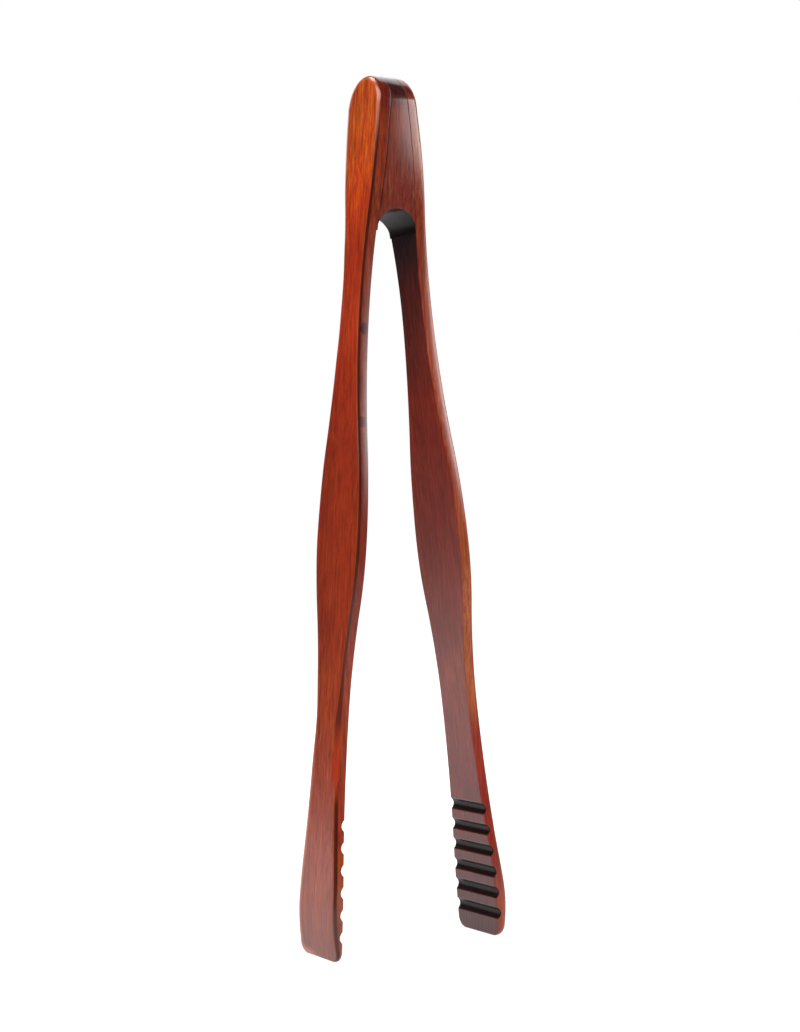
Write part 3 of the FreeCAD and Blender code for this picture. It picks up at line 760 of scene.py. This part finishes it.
def build_wedge(sizes, material):
    """The wedge: a sheet of faces carried up the front, over the crown and down the back."""
    bm = bmesh.new()
    columns = sizes.arch_segments
    last_row = 2 * WEDGE_CLIMBS + 180 // CROWN_TURN
    middle = last_row / 2
    bmesh.ops.create_grid(bm, x_segments=columns, y_segments=last_row, size=1.0)
    rest = bm.verts.layers.float_vector.new("rest")
    board = bm.verts.layers.float_vector.new("board")
    bm.verts.layers.float.new("facing")
    cut = bm.verts.layers.float.new("cut")
    lip = set()
    top = inner_line(HEIGHT) - GLUE_FILM
    foot = inner_line(ARCH_HEIGHT) - GLUE_FILM
    for vert in bm.verts:
        column = round((vert.co.x + 1) / 2 * columns)
        row = round((vert.co.y + 1) / 2 * last_row)
        share = 2 * column / columns - 1
        swing = share * math.pi / 2 * columns / (columns - 2)
        if abs(share) < 1:
            low_x, low_z = ARCH_REACH * math.sin(swing), ARCH_HEIGHT + ARCH_RADIUS * math.cos(swing)
        else:
            low_x, low_z = math.copysign(foot, share), ARCH_HEIGHT
        climb = min(row, last_row - row)
        if climb < WEDGE_CLIMBS:
            z = low_z + (HEAD_CENTRE - low_z) * (climb / WEDGE_CLIMBS)
            y = half_width(z)
        else:
            turn = math.radians(CROWN_TURN * (climb - WEDGE_CLIMBS))
            z = HEAD_CENTRE + HEAD_RADIUS * math.sin(turn)
            y = HEAD_RADIUS * math.cos(turn)
        rise = (z - low_z) / (HEIGHT - low_z)
        x = low_x + (share * top - low_x) * rise
        vert.co = Vector((x, stand_out(x, y if row > middle else -y, z), z)) * MM
        if row in (0, last_row):
            lip.add(vert)
    bmesh.ops.bridge_loops(bm, edges=[e for e in bm.edges if e.is_boundary and lip.issuperset(e.verts)])
    bmesh.ops.holes_fill(bm, edges=[e for e in bm.edges if e.is_boundary], sides=0)
    bmesh.ops.recalc_face_normals(bm, faces=bm.faces)
    for along_arch, offset in ((True, sizes.wedge_ease), (False, sizes.wedge_ease * SIDE_SHARE)):
        sharp = [e for e in bm.edges if e.calc_face_angle(0.0) > SHARP
                 and (on_arch(e.verts[0]) and on_arch(e.verts[1])) == along_arch]
        bmesh.ops.bevel(bm, geom=sharp, affect="EDGES", offset=offset, segments=3,
                        profile=0.5, material=-1, clamp_overlap=True)
    bmesh.ops.remove_doubles(bm, verts=bm.verts, dist=WELD)
    bmesh.ops.dissolve_degenerate(bm, dist=WELD, edges=bm.edges)
    for vert in bm.verts:
        z = vert.co.z / MM
        vert[rest] = vert.co
        vert[board] = (0.5 + inner_line(z) + vert.co.x / MM, 0.0, z)
        vert[cut] = 1.0 if on_arch(vert) else 0.0
    return object_from(bm, "wedge", material)


def build_glue(name, side, material):
    """A film of glue as wide as the boards, set back a little from their edges."""
    bm = bmesh.new()
    ring = bmesh.ops.create_circle(bm, cap_ends=False, segments=4, radius=0.01)["verts"]
    reach = HEAD_RADIUS - GLUE_SET_BACK
    heights = [ARCH_HEIGHT + GLUE_CLEAR + GLUE_STEP * step for step in range(GLUE_ROWS)]
    heights += [HEAD_CENTRE + reach * math.sin(math.radians(a)) for a in range(0, 90, 4)]
    foot = list(ring)
    for index, z in enumerate(heights):
        if index:
            ring = grow_ring(bm, ring)
        width = half_width(z) - GLUE_SET_BACK
        if z > HEAD_CENTRE:
            width = math.sqrt(reach ** 2 - (z - HEAD_CENTRE) ** 2)
        outer, inner = inner_line(z), inner_line(z) - GLUE_FILM
        corners = ((inner, -width), (outer, -width), (outer, width), (inner, width))
        for vert, (x, y) in zip(ring, corners):
            vert.co = Vector((side * x, stand_out(x, y, z), z)) * MM
    close_ends(bm, foot, ring)
    return object_from(bm, name, material)


# ---------------------------------------------------------------- the pieces
class TONGS_OT_arms(bpy.types.Operator):
    """Make the two arms, each one board"""

    bl_idname = "tongs.arms"
    bl_label = "Two arms"

    def execute(self, context):
        sizes, colours = context.scene.tongs_sizes, context.scene.tongs_colours
        for word, side in (("left", -1), ("right", 1)):
            wood = stained_hardwood(
                word + "_arm_lacquered_hardwood", sizes, colours, OUTER_STAIN_AND_SHEEN,
                LEFT_EDGE_STAIN_AND_LIGHT if side < 0 else RIGHT_EDGE_STAIN_AND_LIGHT, INNER_STAIN_AND_SHADE,
                DARK_LINE_AND_SHADE if side < 0 else NO_LINE)
            arm = build_arm(word + "_arm", side, sizes, wood)
            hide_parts(*["%s_arm_%s" % (word, part) for part in ("heel", "neck", "blade")])
            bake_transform(arm)
        return {"FINISHED"}


class TONGS_OT_wedge(bpy.types.Operator):
    """Make the wedge with its arch, and the two glue lines beside it"""

    bl_idname = "tongs.wedge"
    bl_label = "Wedge and glue"

    def execute(self, context):
        sizes, colours = context.scene.tongs_sizes, context.scene.tongs_colours
        wood = stained_hardwood(
            "wedge_lacquered_hardwood", sizes, colours, WEDGE_STAIN_AND_LIGHT, WEDGE_STAIN_AND_LIGHT, WEDGE_STAIN_AND_LIGHT, WEDGE_LINE)
        wedge = build_wedge(sizes, wood)
        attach(wedge, "head")
        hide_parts("spacer_wedge")
        glue = dark_glue("dark_cured_glue", colours)
        for word, side in (("left", -1), ("right", 1)):
            line = build_glue(word + "_glue", side, glue)
            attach(line, "head")
            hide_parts(word + "_glue_line")
        return {"FINISHED"}


# ---------------------------------------------------------------- the stage
# Each soft box: its name, its place, the point it is turned to, its sides, its power in watts and
# its fades.  A fade is a direction, and where along it the light starts and where it is full.
UPWARDS = (0.0, 0.0, 1.0)
LAMPS = (
    ("left_box", (-1.0, -0.38, 0.95), (0, 0, 0.16), (1.5, 1.2), 30.0, ((UPWARDS, 0.6, 0.98),)),
    ("right_box", (0.922, -0.72, 0.5), (0, 0, 0.17), (1.2, 0.75), 19.0,
     ((UPWARDS, 0.2, 0.55), ((0.616, 0.788, 0.0), -0.66, 0.12))),
    ("back_box", (0.65, 0.65, 1.136), (0, 0, 0.29), (0.9, 0.9), 4.0, ()),
    ("rim_box", (0.35, 1.1, 0.35), (0, 0, 0.15), (0.9, 0.9), 2.4, ()),
    ("top_box", (-0.25, 0.5, 1.2), (0, 0, 0.3), (0.45, 0.45), 4.5, ()),
)
SENSOR_WIDTH = 36.0       # mm
FOCAL_LENGTH = 67.35      # mm
CAMERA_AWAY = 0.6685      # metres from the middle of the tongs
CAMERA_HEIGHT = 0.1458
CAMERA_STANDS = 0.559480  # round to the left of the front, and the rest too in radians
CAMERA_LOOKS = 0.563829
CAMERA_PITCH = 0.003261
CAMERA_ROLL = -0.027046
FLOOR_RADIUS = 12.0
BRIGHT_SPOT = (-0.12, 0.18, 0.0)    # where the floor throws the most light back, in metres


def soft_lamp(name, place, aim, size, power, fades):
    """Hang a rectangular soft box turned to a point, unseen by the camera."""
    lamp = bpy.data.lights.new(name, "AREA")
    lamp.shape = "RECTANGLE"
    lamp.size, lamp.size_y = size
    lamp.energy = power
    lamp.use_nodes = True
    tree = lamp.node_tree
    tree.nodes.clear()
    spot = add_node(tree, "ShaderNodeNewGeometry").outputs["Position"]
    level = 1.0
    for direction, start, full in fades:
        along = add_node(tree, "ShaderNodeVectorMath", {0: spot, 1: direction}, operation="DOT_PRODUCT")
        rise = add_node(tree, "ShaderNodeMapRange", {
            "Value": along.outputs["Value"], "From Min": start, "From Max": full},
            interpolation_type="SMOOTHSTEP")
        level = add_node(tree, "ShaderNodeMath", {
            0: level, 1: rise.outputs[0]}, operation="MULTIPLY").outputs[0]
    glow = add_node(tree, "ShaderNodeEmission", {"Strength": level})
    add_node(tree, "ShaderNodeOutputLight", {0: glow.outputs[0]})
    box = bpy.data.objects.new(name, lamp)
    box.location = place
    box.rotation_euler = (Vector(aim) - Vector(place)).to_track_quat("-Z", "Y").to_euler()
    box.visible_camera = False
    bpy.context.scene.collection.objects.link(box)


def matt_white_floor(colours):
    """Matt white paper, lit evenly from within, so that it fades out and throws light back.

    The camera sees one brightness, and the tongs are lit by another, which is strongest behind
    them on the left.  From below it is clear.
    """
    material = bpy.data.materials.new("matt_white_floor")
    material.use_nodes = True
    tree = material.node_tree
    tree.nodes.clear()
    path = add_node(tree, "ShaderNodeLightPath")
    place = add_node(tree, "ShaderNodeTexCoord").outputs["Object"]
    away = add_node(tree, "ShaderNodeVectorMath", {0: place}, operation="LENGTH")
    seen = add_node(tree, "ShaderNodeMapRange", {
        "Value": away.outputs["Value"], "From Min": 0.05, "From Max": 0.4,
        "To Min": 0.86, "To Max": 1.05})
    from_spot = add_node(tree, "ShaderNodeVectorMath", {0: place, 1: BRIGHT_SPOT}, operation="DISTANCE")
    bounced = add_node(tree, "ShaderNodeMapRange", {
        "Value": from_spot.outputs["Value"], "From Min": 0.12, "From Max": 1.0,
        "To Min": 0.74, "To Max": 0.04}, interpolation_type="SMOOTHSTEP")
    dimmer = add_node(tree, "ShaderNodeMath", {
        0: path.outputs["Is Diffuse Ray"], 1: -0.7, 2: 1.0}, operation="MULTIPLY_ADD")
    lit = add_node(tree, "ShaderNodeMath", {
        0: bounced.outputs[0], 1: dimmer.outputs[0]}, operation="MULTIPLY")
    level = add_node(tree, "ShaderNodeMix", {
        "Factor": path.outputs["Is Camera Ray"], 2: lit.outputs[0], 3: seen.outputs[0]})
    glow = add_node(tree, "ShaderNodeEmission", {
        "Color": tuple(colours.floor), "Strength": level.outputs[0]})
    paper = add_node(tree, "ShaderNodeBsdfDiffuse", {"Color": (0.3, 0.3, 0.3, 1.0)})
    both = add_node(tree, "ShaderNodeAddShader", {0: paper.outputs[0], 1: glow.outputs[0]})
    side = add_node(tree, "ShaderNodeNewGeometry")
    clear = add_node(tree, "ShaderNodeBsdfTransparent")
    one_way = add_node(tree, "ShaderNodeMixShader", {
        0: side.outputs["Backfacing"], 1: both.outputs[0], 2: clear.outputs[0]})
    add_node(tree, "ShaderNodeOutputMaterial", {"Surface": one_way.outputs[0]})
    return material


def white_room():
    """A plain white world that is seen by the camera and hardly lights the tongs."""
    world = bpy.data.worlds.new("plain_white_room")
    world.use_nodes = True
    tree = world.node_tree
    tree.nodes.clear()
    path = add_node(tree, "ShaderNodeLightPath")
    level = add_node(tree, "ShaderNodeMapRange", {
        "Value": path.outputs["Is Camera Ray"], "To Min": 0.06, "To Max": 1.0})
    back = add_node(tree, "ShaderNodeBackground", {
        "Color": linear("ffffff"), "Strength": level.outputs[0]})
    add_node(tree, "ShaderNodeOutputWorld", {"Surface": back.outputs[0]})
    return world


class TONGS_OT_stage(bpy.types.Operator):
    """Lay the pale floor, hang the lamps and set up the camera"""

    bl_idname = "tongs.stage"
    bl_label = "Floor, lamps and camera"

    def execute(self, context):
        scene = context.scene
        bm = bmesh.new()
        bmesh.ops.create_circle(bm, cap_ends=True, segments=64, radius=FLOOR_RADIUS)
        floor = object_from(bm, "floor", matt_white_floor(scene.tongs_colours))
        scene.world = white_room()
        for lamp in LAMPS:
            soft_lamp(*lamp)

        scene.view_settings.view_transform = "Standard"
        lens = bpy.data.cameras.new("camera")
        lens.sensor_width = SENSOR_WIDTH
        lens.lens = FOCAL_LENGTH
        camera = bpy.data.objects.new("camera", lens)
        place = Matrix.Translation((
            -CAMERA_AWAY * math.sin(CAMERA_STANDS), -CAMERA_AWAY * math.cos(CAMERA_STANDS), CAMERA_HEIGHT))
        camera.matrix_world = (
            place @ Matrix.Rotation(-CAMERA_LOOKS, 4, "Z")
            @ Matrix.Rotation(math.pi / 2 + CAMERA_PITCH, 4, "X") @ Matrix.Rotation(CAMERA_ROLL, 4, "Z"))
        scene.collection.objects.link(camera)
        scene.camera = camera
        return {"FINISHED"}


class TONGS_PT_panel(bpy.types.Panel):
    """Buttons and sizes for the tongs"""

    bl_idname = "TONGS_PT_panel"
    bl_label = "Wooden tongs"
    bl_space_type = "VIEW_3D"
    bl_region_type = "UI"
    bl_category = "Tongs"

    def draw(self, context):
        column = self.layout.column()
        for group in (context.scene.tongs_sizes, context.scene.tongs_colours):
            for name in group.bl_rna.properties.keys():
                if name not in ("rna_type", "name"):
                    column.prop(group, name)
        for step in STEPS:
            column.operator(step.bl_idname)


STEPS = (TONGS_OT_arms, TONGS_OT_wedge, TONGS_OT_stage)
CLASSES = (TongsSizes, TongsColours) + STEPS + (TONGS_PT_panel,)


def register():
    for cls in CLASSES:
        bpy.utils.register_class(cls)
    bpy.types.Scene.tongs_sizes = PointerProperty(type=TongsSizes)
    bpy.types.Scene.tongs_colours = PointerProperty(type=TongsColours)


def unregister():
    del bpy.types.Scene.tongs_colours
    del bpy.types.Scene.tongs_sizes
    for cls in reversed(CLASSES):
        bpy.utils.unregister_class(cls)


def main():
    register()
    bpy.ops.tongs.arms()
    bpy.ops.tongs.wedge()
    bpy.ops.tongs.stage()


if __name__ == "__main__":
    main()
